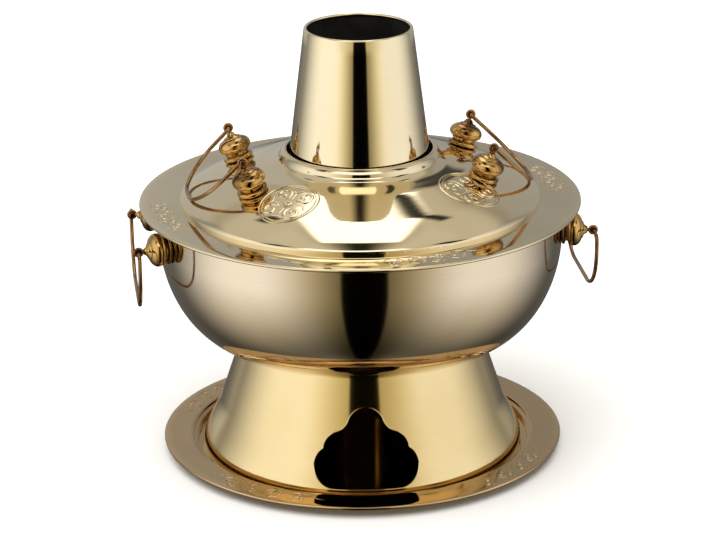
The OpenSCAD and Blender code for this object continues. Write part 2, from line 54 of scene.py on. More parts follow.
class Slot(Enum):
    """The record's material slots."""

    GOLD_MIRROR = "gold_mirror"
    GOLD_SATIN = "gold_satin"
    CHAMPAGNE_SATIN = "champagne_satin"
    CHAMPAGNE_MIRROR = "champagne_mirror"
    BRONZE_TRAY = "bronze_tray"
    ANTIQUE_BEADS = "antique_beads"
    COPPER_WIRE = "copper_wire"
    PLAIN_STEEL = "plain_steel"
    SOOTY_IRON = "sooty_iron"


class Grain(Enum):
    """How the polishing marks lie: (weight of the radius, weight of the height) for rings, None for a loose grain."""

    FALLING = (-1.0, 1.0)
    RISING = (1.0, 1.0)
    LOOSE = None


# Outlines in millimetres


def curve(a: Point, b: Point, c: Point, d: Point, steps: int = 28) -> list[Point]:
    """A cubic curve from a to d that leaves towards b and arrives from c.

    Args:
        a: First point.
        b: Point that the curve leaves towards.
        c: Point that the curve arrives from.
        d: Last point.
        steps: Number of straight pieces.

    Returns:
        The points along the curve, both ends included.
    """
    points = []
    for i in range(steps + 1):
        t = i / steps
        s = 1 - t
        weights = (s * s * s, 3 * s * s * t, 3 * s * t * t, t * t * t)
        points.append(tuple(sum(w * p[k] for w, p in zip(weights, (a, b, c, d))) for k in (0, 1)))
    return points


def arc(centre: Point, radius: float, start: float, end: float, steps: int = 12) -> list[Point]:
    """Points of an arc.

    Args:
        centre: Centre of the arc.
        radius: Its radius.
        start: First angle in degrees, counted from the +X side.
        end: Last angle in degrees.
        steps: Number of straight pieces.

    Returns:
        The points, both ends included.
    """
    angles = (math.radians(start + (end - start) * i / steps) for i in range(steps + 1))
    return [(centre[0] + radius * math.cos(a), centre[1] + radius * math.sin(a)) for a in angles]


def straight(a: Point, b: Point, steps: int) -> list[Point]:
    """Evenly spaced points from a to b, both ends included."""
    return [(a[0] + (b[0] - a[0]) * i / steps, a[1] + (b[1] - a[1]) * i / steps) for i in range(steps + 1)]


def beside(path: Sequence[Point], gap: float) -> list[Point]:
    """A line that keeps one distance from a path.

    Args:
        path: The points of the path.
        gap: Distance to the left of the path; negative is to its right.

    Returns:
        One point for each point of the path.
    """
    line = []
    for i, here in enumerate(path):
        into = Vector(here) - Vector(path[i - 1]) if i else Vector(path[1]) - Vector(here)
        out = Vector(path[i + 1]) - Vector(here) if i < len(path) - 1 else into
        into, out = into.normalized(), out.normalized()
        across = Vector((-into.y - out.y, into.x + out.x)) * gap / (1 + into.dot(out))
        line.append((here[0] + across.x, here[1] + across.y))
    return line


def sheet(path: Sequence[Point], gap: float) -> list[Point]:
    """The closed outline of a sheet of metal along a path."""
    return list(path) + beside(path, gap)[::-1]


def turned(points: Iterable[Point], by: float) -> list[Point]:
    """Points turned about the origin by an angle in degrees."""
    c, s = math.cos(math.radians(by)), math.sin(math.radians(by))
    return [(x * c - y * s, x * s + y * c) for x, y in points]


def shifted(points: Iterable[Point], dx: float, dy: float) -> list[Point]:
    """Points moved by dx and dy."""
    return [(x + dx, y + dy) for x, y in points]


def mirrored(points: Iterable[Point]) -> list[Point]:
    """Points mirrored left to right."""
    return [(-x, y) for x, y in points]


def spiral(centre: Point, outer: float, inner: float, start: float, turns: float, steps: int = 26) -> list[Point]:
    """A spiral that winds inwards.

    Args:
        centre: Its centre.
        outer: Radius where it starts.
        inner: Radius where it ends.
        start: Angle of its first point in degrees.
        turns: Number of turns, negative for clockwise.
        steps: Number of straight pieces.

    Returns:
        The points from the outside to the middle.
    """
    points = []
    for i in range(steps + 1):
        t = i / steps
        r = outer + (inner - outer) * t
        a = math.radians(start) + 2 * math.pi * turns * t
        points.append((centre[0] + r * math.cos(a), centre[1] + r * math.sin(a)))
    return points


# Meshes


def lathe(outline: Sequence[Point], steps: int = 224, closed: bool = True) -> bmesh.types.BMesh:
    """Turns an outline of (radius, height) in millimetres round the Z axis.

    Args:
        outline: The points of the outline.
        steps: Number of steps of a full turn.
        closed: Whether the last point joins the first; an outline that starts and ends on the axis is left open.

    Returns:
        A closed mesh in metres, its faces outwards.
    """
    bm = bmesh.new()
    verts = [bm.verts.new((r * MM, 0.0, z * MM)) for r, z in outline]
    pairs = list(zip(verts, verts[1:])) + ([(verts[-1], verts[0])] if closed else [])
    edges = [bm.edges.new(pair) for pair in pairs]
    bmesh.ops.spin(bm, geom=verts + edges, cent=(0, 0, 0), axis=(0, 0, 1), dvec=(0, 0, 0),
                   angle=2 * math.pi, steps=steps, use_merge=True)
    bmesh.ops.remove_doubles(bm, verts=bm.verts, dist=2e-6)
    bmesh.ops.recalc_face_normals(bm, faces=bm.faces)
    return bm


def sweep(bm: bmesh.types.BMesh, path: Sequence[Vector], ups: Sequence[Vector], half_w: Sequence[float],
          half_h: Sequence[float], around: int = 20, looped: bool = False) -> None:
    """Drags an oval along a path.

    Args:
        bm: Mesh that takes the result.
        path: Points in metres.
        ups: Direction of the oval's height at each point.
        half_w: Half width of the oval at each point, in metres.
        half_h: Half height at each point, in metres.
        around: Number of corners of the oval.
        looped: Whether the path closes on itself; otherwise its ends are capped.
    """
    places = []
    for i, here in enumerate(path):
        ahead = path[(i + 1) % len(path)] if looped or i < len(path) - 1 else here
        behind = path[i - 1] if looped or i else here
        along = (ahead - behind).normalized()
        side = ups[i].cross(along).normalized()
        up = along.cross(side)
        place = Matrix((side, up, along)).transposed().to_4x4()
        place = place @ Matrix.Diagonal((half_w[i], half_h[i], half_w[i], 1))
        place.translation = here
        places.append(place)
    ring = bmesh.ops.create_circle(bm, cap_ends=False, segments=around, radius=1.0, matrix=places[0])["verts"]
    first = list({e for v in ring for e in v.link_edges})
    edges = first
    start = len(bm.verts) - around
    for last, place in zip(places, places[1:]):
        made = bmesh.ops.extrude_edge_only(bm, edges=edges)["geom"]
        verts = [g for g in made if isinstance(g, bmesh.types.BMVert)]
        fresh = set(verts)
        edges = [g for g in made if isinstance(g, bmesh.types.BMEdge) and fresh.issuperset(g.verts)]
        bmesh.ops.transform(bm, matrix=place @ last.inverted(), verts=verts)
    if looped:
        bmesh.ops.bridge_loops(bm, edges=first + edges)
    else:
        bmesh.ops.edgeloop_fill(bm, edges=first)
        bmesh.ops.edgeloop_fill(bm, edges=edges)
    bm.verts.ensure_lookup_table()
    mine = {f for v in bm.verts[start:] for f in v.link_faces}
    bmesh.ops.recalc_face_normals(bm, faces=list(mine))


def tube(bm: bmesh.types.BMesh, path: Sequence[Vector], radius: float, up: Vector, around: int = 20,
         looped: bool = False) -> None:
    """Drags a circle along a path that lies across one direction."""
    n = len(path)
    sweep(bm, path, [up] * n, [radius] * n, [radius] * n, around, looped)


def ring(bm: bmesh.types.BMesh, centre: Vector, up: Vector, ring_r: float, tube_r: float) -> None:
    """A round ring of wire about the direction up, sizes in metres."""
    side = up.orthogonal().normalized()
    path = [centre + Matrix.Rotation(2 * math.pi * i / 40, 3, up) @ side * ring_r for i in range(40)]
    tube(bm, path, tube_r, up, 18, looped=True)


def moved(bm: bmesh.types.BMesh, place: Matrix) -> bmesh.types.BMesh:
    """The same mesh moved by a matrix."""
    bmesh.ops.transform(bm, matrix=place, verts=bm.verts)
    return bm


def mesh_of(name: str, bm: bmesh.types.BMesh) -> bpy.types.Mesh:
    """A mesh with the shape of a bmesh, which is freed."""
    mesh = bpy.data.meshes.new(name)
    bm.to_mesh(mesh)
    bm.free()
    return mesh


def linked(name: str, data: bpy.types.ID) -> bpy.types.Object:
    """A new object of the scene."""
    obj = bpy.data.objects.new(name, data)
    bpy.context.scene.collection.objects.link(obj)
    return obj


def joined(parts: Iterable[bmesh.types.BMesh]) -> bmesh.types.BMesh:
    """Puts several meshes into one.

    Args:
        parts: The meshes, freed here.

    Returns:
        The mesh that holds them all.
    """
    whole = bmesh.new()
    for part in parts:
        holder = mesh_of("holder", part)
        whole.from_mesh(holder)
        bpy.data.meshes.remove(holder)
    return whole


def piece(name: str, bm: bmesh.types.BMesh, body: str, finish: "Finish",
          stands_for: Sequence[str] = ()) -> bpy.types.Object:
    """Makes a finished object of a mesh and lets it ride on its body.

    Args:
        name: Name of the piece.
        bm: Its mesh in metres, freed here.
        body: Body that it moves with.
        finish: What its surface is.
        stands_for: CAD nodes that it replaces.

    Returns:
        The object.
    """
    mesh = mesh_of(name, bm)
    mesh.shade_smooth()
    mesh.set_sharp_from_angle(angle=math.radians(SHARP_ANGLE))
    obj = linked(name, mesh)
    mesh.materials.append(finish.material())
    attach(obj, body)
    if stands_for:
        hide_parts(*stands_for)
    LOG.info("%s rides on %s: %d faces", name, body, len(mesh.polygons))
    return obj


def dress(node: str, finish: "Finish") -> None:
    """Gives a CAD node its finish.

    Args:
        node: Name of the node.
        finish: What its surface is.
    """
    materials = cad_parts[node].data.materials
    materials.clear()
    materials.append(finish.material())
    LOG.info("%s keeps its CAD shape", node)


# Finishes


class Graph:
    """A small helper that writes one node tree."""

    def __init__(self, tree: bpy.types.NodeTree) -> None:
        """Empties the tree."""
        self.tree = tree
        tree.nodes.clear()

    def add(self, kind: str, inputs: dict | None = None, **props: object) -> bpy.types.Node:
        """Adds a node.

        Args:
            kind: Its type, without the words ShaderNode.
            inputs: Values or sockets for its inputs, by name or number.
            props: Its own settings.

        Returns:
            The node.
        """
        node = self.tree.nodes.new("ShaderNode" + kind)
        for key, value in props.items():
            setattr(node, key, value)
        for key, value in (inputs or {}).items():
            if isinstance(value, bpy.types.NodeSocket):
                self.tree.links.new(value, node.inputs[key])
            else:
                node.inputs[key].default_value = value
        return node

    def math(self, operation: str, *values: object) -> bpy.types.NodeSocket:
        """The result of one Math node."""
        return self.add("Math", dict(enumerate(values)), operation=operation).outputs[0]

    def blend(self, factor: object, a: object, b: object) -> bpy.types.NodeSocket:
        """A colour between a and b."""
        return self.add("Mix", {"Factor": factor, 6: a, 7: b}, data_type="RGBA").outputs[2]

    def mix(self, factor: object, a: object, b: object) -> bpy.types.NodeSocket:
        """A value between a and b."""
        return self.add("Mix", {"Factor": factor, 2: a, 3: b}, data_type="FLOAT").outputs[0]

    def step(self, value: object, low: object, high: object, start: object = 0.0,
             end: object = 1.0) -> bpy.types.NodeSocket:
        """A value that rises smoothly from start at low to end at high."""
        node = self.add("MapRange", {0: value, 1: low, 2: high, 3: start, 4: end}, interpolation_type="SMOOTHSTEP")
        return node.outputs[0]


@dataclass(frozen=True)
class Finish:
    """A metal surface with polishing marks, patina and wear."""

    name: str
    slot: Slot
    bright: Colour
    deep: Colour
    rough: float
    rough_spread: float = 0.05
    grain: Grain = Grain.FALLING
    marks_per_m: float = 900.0
    marks_round: float = 3.0
    marks_depth: float = 0.00002
    marks_shade: float = 0.12
    patina: float = 0.25
    patina_per_m: float = 22.0
    speckle: float = 0.4
    metal: float = 1.0

    def material(self) -> bpy.types.Material:
        """Makes the finish's material once.

        Returns:
            The material.
        """
        known = bpy.data.materials.get(self.name)
        if known:
            return known
        material = bpy.data.materials.new(self.name)
        material.use_nodes = True
        g = Graph(material.node_tree)
        here = g.add("TexCoord").outputs["Object"]
        marks = g.add("TexNoise", {"Vector": self.marks(g, here), "Scale": 1.0, "Detail": 4.0}).outputs["Fac"]
        cloud = g.add("TexNoise", {"Vector": here, "Scale": self.patina_per_m, "Detail": 4.0}).outputs["Fac"]
        speck = g.add("TexNoise", {"Vector": here, "Scale": self.patina_per_m * 14, "Detail": 2.0}).outputs["Fac"]
        worn = g.math("MULTIPLY", g.step(cloud, 0.42, 0.68), self.patina)
        worn = g.math("ADD", worn, g.math("MULTIPLY", g.step(speck, 0.60, 0.75), self.patina * self.speckle))
        worn = g.math("ADD", worn, g.math("MULTIPLY", g.step(marks, 0.45, 0.75), self.marks_shade))
        colour = g.blend(g.math("MINIMUM", worn, 1.0), (*self.bright, 1.0), (*self.deep, 1.0))
        rough = g.math("MULTIPLY_ADD", marks, self.rough_spread, self.rough - 0.5 * self.rough_spread)
        rough = g.math("MULTIPLY_ADD", cloud, self.rough_spread * 0.6, rough)
        bump = g.add("Bump", {"Height": marks, "Strength": 1.0, "Distance": self.marks_depth})
        shader = g.add("BsdfPrincipled", {"Base Color": colour, "Roughness": rough, "Normal": bump.outputs[0],
                                          "Metallic": self.metal})
        g.add("OutputMaterial", {"Surface": shader.outputs[0]})
        return material

    def marks(self, g: Graph, here: bpy.types.NodeSocket) -> bpy.types.NodeSocket:
        """Where the polishing marks are read.

        Args:
            g: The node tree's helper.
            here: The object's own coordinates.

        Returns:
            A place that changes fast across the marks and slowly along them.
        """
        if self.grain is Grain.LOOSE:
            return g.add("VectorMath", {0: here, "Scale": self.marks_per_m}, operation="SCALE").outputs[0]
        at = g.add("SeparateXYZ", {0: here}).outputs
        out = g.math("SQRT", g.math("ADD", g.math("MULTIPLY", at[0], at[0]), g.math("MULTIPLY", at[1], at[1])))
        out = g.math("MAXIMUM", out, 0.001)
        by_r, by_z = self.grain.value
        up = g.math("MULTIPLY", at[2], by_z * self.marks_per_m)
        across = g.math("MULTIPLY_ADD", out, by_r * self.marks_per_m, up)
        turn_x = g.math("MULTIPLY", g.math("DIVIDE", at[0], out), self.marks_round)
        turn_y = g.math("MULTIPLY", g.math("DIVIDE", at[1], out), self.marks_round)
        return g.add("CombineXYZ", {0: turn_x, 1: turn_y, 2: across}).outputs[0]


FOOT_GOLD = Finish("foot_gold", Slot.GOLD_MIRROR, (0.88, 0.71, 0.39), (0.66, 0.46, 0.17), 0.08, 0.02,
                   marks_depth=0.000004, marks_shade=0.05, patina=0.16, patina_per_m=9.0)
CHIMNEY_GOLD = Finish("chimney_gold", Slot.GOLD_SATIN, (0.92, 0.80, 0.55), (0.74, 0.60, 0.33), 0.07, 0.02,
                      marks_per_m=1300.0, marks_depth=0.000006, marks_shade=0.08, patina=0.08, patina_per_m=12.0)
BOWL_CHAMPAGNE = Finish("bowl_champagne", Slot.CHAMPAGNE_SATIN, (0.90, 0.77, 0.58), (0.68, 0.55, 0.36), 0.07, 0.02,
                        grain=Grain.RISING, marks_per_m=1100.0, marks_depth=0.000006, marks_shade=0.10, patina=0.10,
                        patina_per_m=10.0)
LID_CHAMPAGNE = Finish("lid_champagne", Slot.CHAMPAGNE_MIRROR, (0.87, 0.75, 0.52), (0.60, 0.48, 0.29), 0.05, 0.02,
                       marks_depth=0.000004, marks_shade=0.05, patina=0.12, patina_per_m=14.0)
BRIM_CHAMPAGNE = Finish("brim_champagne", Slot.CHAMPAGNE_MIRROR, (0.86, 0.74, 0.51), (0.60, 0.48, 0.29), 0.05, 0.02,
                        marks_depth=0.000004, marks_shade=0.05, patina=0.14, patina_per_m=14.0)
RELIEF_CHAMPAGNE = Finish("relief_champagne", Slot.CHAMPAGNE_MIRROR, (0.86, 0.74, 0.50), (0.34, 0.25, 0.13), 0.14,
                          0.05, grain=Grain.LOOSE, marks_per_m=500.0, patina=0.30, patina_per_m=90.0)
TRAY_BRONZE = Finish("tray_bronze", Slot.BRONZE_TRAY, (0.66, 0.475, 0.26), (0.38, 0.25, 0.11), 0.05, 0.02,
                     marks_depth=0.000004, marks_shade=0.08, patina=0.16, patina_per_m=14.0)
BEAD_BRASS = Finish("bead_brass", Slot.ANTIQUE_BEADS, (0.66, 0.42, 0.15), (0.09, 0.035, 0.012), 0.07, 0.03,
                    grain=Grain.LOOSE, marks_per_m=120.0, marks_depth=0.000003, marks_shade=0.06, patina=0.85,
                    patina_per_m=50.0, speckle=0.0)
BAIL_COPPER = Finish("bail_copper", Slot.COPPER_WIRE, (0.44, 0.26, 0.12), (0.13, 0.06, 0.025), 0.12, 0.04,
                     grain=Grain.LOOSE, marks_per_m=200.0, marks_depth=0.000004, marks_shade=0.10, patina=0.60,
                     patina_per_m=45.0, speckle=0.1)
STEEL = Finish("nut_steel", Slot.PLAIN_STEEL, (0.62, 0.62, 0.63), (0.36, 0.35, 0.34), 0.28, 0.12,
               grain=Grain.LOOSE, marks_per_m=500.0, patina=0.35, patina_per_m=80.0)
SKIRT_STEEL = Finish("skirt_champagne", Slot.CHAMPAGNE_MIRROR, (0.70, 0.62, 0.47), (0.44, 0.36, 0.24), 0.20, 0.06,
                     patina=0.25)
SOOT = Finish("sooty_iron", Slot.SOOTY_IRON, (0.035, 0.031, 0.028), (0.012, 0.010, 0.009), 0.62, 0.25,
              grain=Grain.LOOSE, marks_per_m=600.0, marks_depth=0.00012, patina=0.6, patina_per_m=70.0, metal=0.3)
# Near-black finish for the inside of the chimney, under the chimney's gold satin slot
FLUE_NEAR_BLACK = Finish("flue_near_black", Slot.GOLD_SATIN, (0.030, 0.026, 0.022), (0.010, 0.008, 0.007), 0.55, 0.20,
                   grain=Grain.LOOSE, marks_per_m=400.0, marks_depth=0.00010, patina=0.7, patina_per_m=45.0,
                   metal=0.4)


# Ridges laid on a turned surface


@dataclass(frozen=True)
class Meridian:
    """The outer line of a turned surface, measured along its length."""

    outline: tuple[Point, ...]

    def at(self, s: float) -> tuple[float, float, Vector]:
        """Finds a point of the line.

        Args:
            s: Length along the line.

        Returns:
            Radius, height and the outward direction in the outline's plane.
        """
        walked = 0.0
        for a, b in zip(self.outline, self.outline[1:]):
            run = math.dist(a, b)
            if walked + run >= s or b is self.outline[-1]:
                t = (s - walked) / run
                out = Vector((b[1] - a[1], a[0] - b[0])).normalized()
                if out.y < 0:
                    out = -out
                return a[0] + (b[0] - a[0]) * t, a[1] + (b[1] - a[1]) * t, out
            walked += run
        raise ValueError("the line has no length")

    def length_to(self, radius: float) -> float:
        """Measures along the line.

        Args:
            radius: Where to stop.

        Returns:
            Length along the line to the point at that radius.
        """
        walked = 0.0
        for a, b in zip(self.outline, self.outline[1:]):
            if min(a[0], b[0]) <= radius <= max(a[0], b[0]) and a[0] != b[0]:
                return walked + math.dist(a, b) * (radius - a[0]) / (b[0] - a[0])
            walked += math.dist(a, b)
        raise ValueError("the line never comes to that radius")

    def lay(self, bm: bmesh.types.BMesh, stroke: Sequence[Point], radius: float, azimuth: float, width: float,
            height: float, looped: bool = False) -> None:
        """Lays one ridge on the surface.

        Args:
            bm: Mesh that takes the ridge.
            stroke: Points in millimetres: x to the right as seen from outside, y inwards and up.
            radius: Radius of the pattern's centre.
            azimuth: Angle of the pattern's centre in degrees.
            width: Width of the ridge.
            height: How far it stands up.
            looped: Whether the stroke closes on itself.
        """
        middle = self.length_to(radius)
        inwards = 1.0 if self.outline[-1][0] < self.outline[0][0] else -1.0
        path, ups = [], []
        for x, y in stroke:
            r, z, out = self.at(middle + inwards * y)
            a = math.radians(azimuth) + x / r
            ups.append(Vector((out.x * math.cos(a), out.x * math.sin(a), out.y)))
            path.append(Vector((r * math.cos(a), r * math.sin(a), z)) * MM)
        n = len(path)
        taper = [1.0 if looped else min(1.0, 0.45 + 0.3 * min(i, n - 1 - i)) for i in range(n)]
        sweep(bm, path, ups, [0.5 * width * t * MM for t in taper], [height * t * MM for t in taper], 8, looped)


# Sub-assemblies


@dataclass
class BaseTray:
    """The tray that the pot stands on."""

    radius: float = 165.5
    height: float = 10.0
    flange_in_r: float = 141.2
    ledge_drop: float = 2.8
    ledge_w: float = 2.8
    bead_r: float = 1.3
    corner: float = 0.5
    wall: float = 1.0

    def build(self) -> bmesh.types.BMesh:
        """Turns the well, its ledge, the flange and the rolled edge.

        Returns:
            The mesh.
        """
        lean = 0.4 * self.wall
        well = self.flange_in_r - self.ledge_w - 2 * lean
        bead = (self.radius - self.bead_r, self.height - self.bead_r)
        corner = self.corner
        top = [(0.0, self.wall), (well - corner, self.wall)]
        top += arc((well - corner, self.wall + corner), corner, -90, 0, 4)[1:]
        ledge = self.height - self.ledge_drop
        ledge_r = self.flange_in_r - lean - corner
        top += [(well + lean, ledge - corner)]
        top += arc((well + lean + corner, ledge - corner), corner, 180, 90, 4)[1:] + [(ledge_r, ledge)]
        top += arc((ledge_r, ledge + corner), corner, -90, 0, 4)[1:] + [(self.flange_in_r, self.height - corner)]
        top += arc((self.flange_in_r + corner, self.height - corner), corner, 180, 90, 4)[1:]
        top += straight((self.flange_in_r + 3, self.height), (bead[0], self.height), 4)
        flange_r = self.flange_in_r + self.wall
        under = [(flange_r, self.height - self.wall), (flange_r, ledge - self.wall),
                 (well + self.wall, ledge - self.wall), (well + self.wall, 0.0), (0.0, 0.0)]
        roll = arc(bead, self.bead_r, 90, -193.3, 22)[1:]
        return lathe(top + roll + under, 256, closed=False)

    def make(self) -> None:
        """Builds and dresses the tray."""
        piece("base_tray_shell", self.build(), "tray", TRAY_BRONZE, ["base_tray"])


@dataclass
class Foot:
    """The flared foot with its cloud-shaped draught vent."""

    stands_at: float = 1.0
    bottom_r: float = 132.4
    top_r: float = 98.5
    height: float = 95.7
    hem_h: float = 5.0
    flare_h: float = 40.0
    flange_w: float = 10.0
    wall: float = 1.0
    vent_sill: float = 8.9
    vent_half_w: float = 42.1
    vent_low_r: float = 15.6
    vent_up_half_w: float = 34.7
    vent_lobe_rise: float = 11.3
    vent_up_r: float = 16.4
    vent_arch_r: float = 15.0
    vent_hollow_r: float = 13.6
    vent_h: float = 61.3
    vent_turn: float = 1.4
    edge_half_w: float = 0.45
    edge_half_h: float = 0.62
    cut_near: float = 50.0
    cut_far: float = 170.0

    def outline(self) -> list[Point]:
        """Draws the outer line.

        Returns:
            Its points from the flange down to the hem.
        """
        fall = 0.94 * (self.bottom_r - self.top_r) / self.height
        pull = 0.34 * (self.flare_h - self.hem_h)
        flare_r = self.top_r + (self.height - self.flare_h) * fall
        line = [(self.top_r - self.flange_w, self.height), (self.top_r, self.height)]
        line += straight(line[-1], (flare_r, self.flare_h), 20)[1:]
        line += curve((flare_r, self.flare_h), (flare_r + pull * fall, self.flare_h - pull),
                      (self.bottom_r - 0.1 * pull, self.hem_h + pull), (self.bottom_r, self.hem_h), 26)[1:]
        line += straight(line[-1], (self.bottom_r, 0.0), 3)[1:]
        return shifted(line, 0, self.stands_at)

    def vent(self) -> list[Point]:
        """Draws the vent as seen from the front: two lobes on each side and an arch.

        Returns:
            The closed outline.
        """
        low = Vector((self.vent_half_w - self.vent_low_r, self.vent_sill + self.vent_low_r))
        up = Vector((self.vent_up_half_w - self.vent_up_r, low.y + self.vent_lobe_rise))
        top = Vector((0, self.vent_sill + self.vent_h - self.vent_arch_r))
        hollow = self.touching(top, self.vent_arch_r, up, self.vent_up_r, self.vent_hollow_r)
        span = up - low
        along = (self.vent_low_r ** 2 - self.vent_up_r ** 2 + span.length_squared) / (2 * span.length)
        aside = math.sqrt(self.vent_low_r ** 2 - along ** 2)
        notch = low + span.normalized() * along + Vector((span.y, -span.x)).normalized() * aside

        def angle(centre: Vector, towards: Vector) -> float:
            """Direction from a centre in degrees."""
            return math.degrees(math.atan2(towards.y - centre.y, towards.x - centre.x))

        half = straight((0, self.vent_sill), (low.x, self.vent_sill), 10)
        half += arc(low, self.vent_low_r, -90, angle(low, notch), 20)[1:]
        half += arc(up, self.vent_up_r, angle(up, notch), angle(up, hollow), 16)[1:]
        start, end = angle(hollow, up), angle(hollow, top)
        half += arc(hollow, self.vent_hollow_r, start, end - 360 if end > start else end, 14)[1:]
        half += arc(top, self.vent_arch_r, angle(top, hollow), 90, 14)[1:]
        whole = half + mirrored(half)[::-1][1:-1]
        return shifted(whole, 0, self.stands_at)

    @staticmethod
    def touching(a: Vector, ra: float, b: Vector, rb: float, r: float) -> Vector:
        """Places a circle that touches two circles from outside.

        Args:
            a: Centre of the first circle.
            ra: Its radius.
            b: Centre of the second circle.
            rb: Its radius.
            r: Radius of the touching circle.

        Returns:
            The touching circle's centre, on the left of the line from a to b.
        """
        span = b - a
        along = ((ra + r) ** 2 - (rb + r) ** 2 + span.length_squared) / (2 * span.length)
        aside = math.sqrt((ra + r) ** 2 - along ** 2)
        u = span.normalized()
        return a + u * along + Vector((-u.y, u.x)) * aside

    def cut(self, shell: bpy.types.Object) -> None:
        """Cuts the vent through a shell, for good.

        Args:
            shell: The foot's shell, whose mesh is changed.
        """
        cutter = bmesh.new()
        near, deep = -self.cut_near * MM, (self.cut_near - self.cut_far) * MM
        face = cutter.faces.new([cutter.verts.new((x * MM, near, z * MM)) for x, z in self.vent()])
        made = bmesh.ops.extrude_face_region(cutter, geom=[face])["geom"]
        bmesh.ops.translate(cutter, vec=(0, deep, 0), verts=[g for g in made if isinstance(g, bmesh.types.BMVert)])
        bmesh.ops.recalc_face_normals(cutter, faces=cutter.faces)
        moved(cutter, Matrix.Rotation(math.radians(self.vent_turn), 4, "Z"))
        mesh = mesh_of("vent_cutter", cutter)
        tool = linked("vent_cutter", mesh)
        modifier = shell.modifiers.new("vent", "BOOLEAN")
        modifier.operation, modifier.object, modifier.solver = "DIFFERENCE", tool, "EXACT"
        graph = bpy.context.evaluated_depsgraph_get()
        cut_mesh = bpy.data.meshes.new_from_object(shell.evaluated_get(graph))
        shell.modifiers.clear()
        old, shell.data = shell.data, cut_mesh
        bpy.data.meshes.remove(old)
        bpy.data.objects.remove(tool)
        bpy.data.meshes.remove(mesh)
        shell.data.set_sharp_from_angle(angle=math.radians(SHARP_ANGLE))

    def radius_at(self, height: float) -> float:
        """Outer radius at a height."""
        line = self.outline()[1:]
        return next(a[0] + (b[0] - a[0]) * (a[1] - height) / (a[1] - b[1])
                    for a, b in zip(line, line[1:]) if b[1] <= height <= a[1])

    def vent_edge(self) -> bmesh.types.BMesh:
        """Lays the bright polished edge of the vent, a thin bead along its outline.

        Returns:
            The mesh.
        """
        bm = bmesh.new()
        path, ups = [], []
        for x, z in self.vent():
            r = self.radius_at(z) - 0.5 * self.wall
            at = Vector((x, -math.sqrt(r * r - x * x), z))
            path.append(Matrix.Rotation(math.radians(self.vent_turn), 3, "Z") @ at * MM)
            ups.append(Vector((path[-1].x, path[-1].y, 0)).normalized())
        n = len(path)
        sweep(bm, path, ups, [self.edge_half_w * MM] * n, [self.edge_half_h * MM] * n, 10, looped=True)
        return bm

    def make(self) -> None:
        """Builds, cuts and dresses the foot."""
        skirt = lathe(sheet(self.outline(), -self.wall), 288)
        shell = piece("foot_skirt", skirt, "pot", FOOT_GOLD, ["foot_shell"])
        self.cut(shell)
        piece("vent_edge", self.vent_edge(), "pot", FOOT_GOLD)


@dataclass
class Bowl:
    """The soup bowl: flat floor round the firebox, curved bottom and upright wall."""

    floor_z: float = 96.7
    floor_r: float = 98.5
    hole_r: float = 76.54
    radius: float = 165.1
    height: float = 115.7
    wall_h: float = 26.2
    reach: float = 44.0
    rise: float = 40.4
    wall: float = 1.2

    def outline(self) -> list[Point]:
        """Draws the outer line.

        Returns:
            Its points from the firebox hole to the rim.
        """
        top = self.floor_z + self.height
        bend = (self.radius, top - self.wall_h)
        line = straight((self.hole_r, self.floor_z), (self.floor_r, self.floor_z), 3)
        line += curve(line[-1], (self.floor_r + self.reach, self.floor_z),
                      (self.radius, bend[1] - self.rise), bend, 44)[1:]
        return line + straight(bend, (self.radius, top), 6)[1:]

    def make(self) -> None:
        """Builds and dresses the bowl."""
        wall = lathe(sheet(self.outline(), self.wall), 256)
        piece("bowl_wall", wall, "pot", BOWL_CHAMPAGNE, ["bowl_shell"])


@dataclass
class RimRing:
    """The flat brim with its rolled edge and the hem at its opening."""

    top_z: float = 213.6
    radius: float = 180.0
    open_r: float = 141.0
    wall: float = 1.2
    bead_r: float = 1.4
    hem: float = 3.5

    def top(self) -> list[Point]:
        """The flat upper line from the opening to the bead."""
        return straight((self.open_r + 0.4, self.top_z), (self.radius - self.bead_r, self.top_z), 6)

    def build(self) -> bmesh.types.BMesh:
        """Turns the brim as one sheet.

        Returns:
            The mesh.
        """
        low = self.top_z - self.wall
        bead = (self.radius - self.bead_r, self.top_z - self.bead_r)
        line = self.top() + arc(bead, self.bead_r, 90, -188.2, 22)[1:]
        line += [(self.open_r + self.wall, low), (self.open_r + self.wall, low - self.hem),
                 (self.open_r, low - self.hem), (self.open_r, self.top_z - 0.4)]
        return lathe(line, 256)

    def make(self) -> None:
        """Builds and dresses the brim."""
        piece("brim", self.build(), "pot", BRIM_CHAMPAGNE, ["rim_ring"])


@dataclass
class Chimney:
    """The tapering flue with its rolled top edge and near-black inside, and the grate in its foot."""

    top_z: float = 356.5
    top_r: float = 43.9
    taper: float = 7.15
    foot_z: float = 85.7
    wall: float = 1.2
    bead_r: float = 1.3

    def radius(self, z: float) -> float:
        """Outer radius at a height."""
        return self.top_r + (self.top_z - z) * math.tan(math.radians(self.taper))

    def build(self) -> bmesh.types.BMesh:
        """Turns the cone as one sheet whose top edge is rolled inwards.

        Returns:
            The mesh.
        """
        seat = self.top_z - self.bead_r
        outer = straight((self.radius(self.foot_z), self.foot_z), (self.radius(seat), seat), 24)
        bead = arc((self.top_r - self.bead_r, seat), self.bead_r, 12, 255, 20)
        inner = straight((self.radius(seat - 1) - self.wall, seat - 1),
                         (self.radius(self.foot_z) - self.wall, self.foot_z), 8)
        return lathe(outer + bead + inner, 256)

    def make(self) -> None:
        """Builds and dresses the chimney, its grate and the grate's ring."""
        cone = piece("chimney_cone", self.build(), "pot", CHIMNEY_GOLD, ["chimney"])
        # The inside of the flue, below the rolled edge, is made near black
        cone.data.materials.append(FLUE_NEAR_BLACK.material())
        for face in cone.data.polygons:
            inward = face.normal.x * face.center.x + face.normal.y * face.center.y < 0
            if inward and face.center.z < (self.top_z - 1.6 * self.bead_r) * MM:
                face.material_index = 1
        dress("grate", SOOT)
        dress("grate_ring", SOOT)


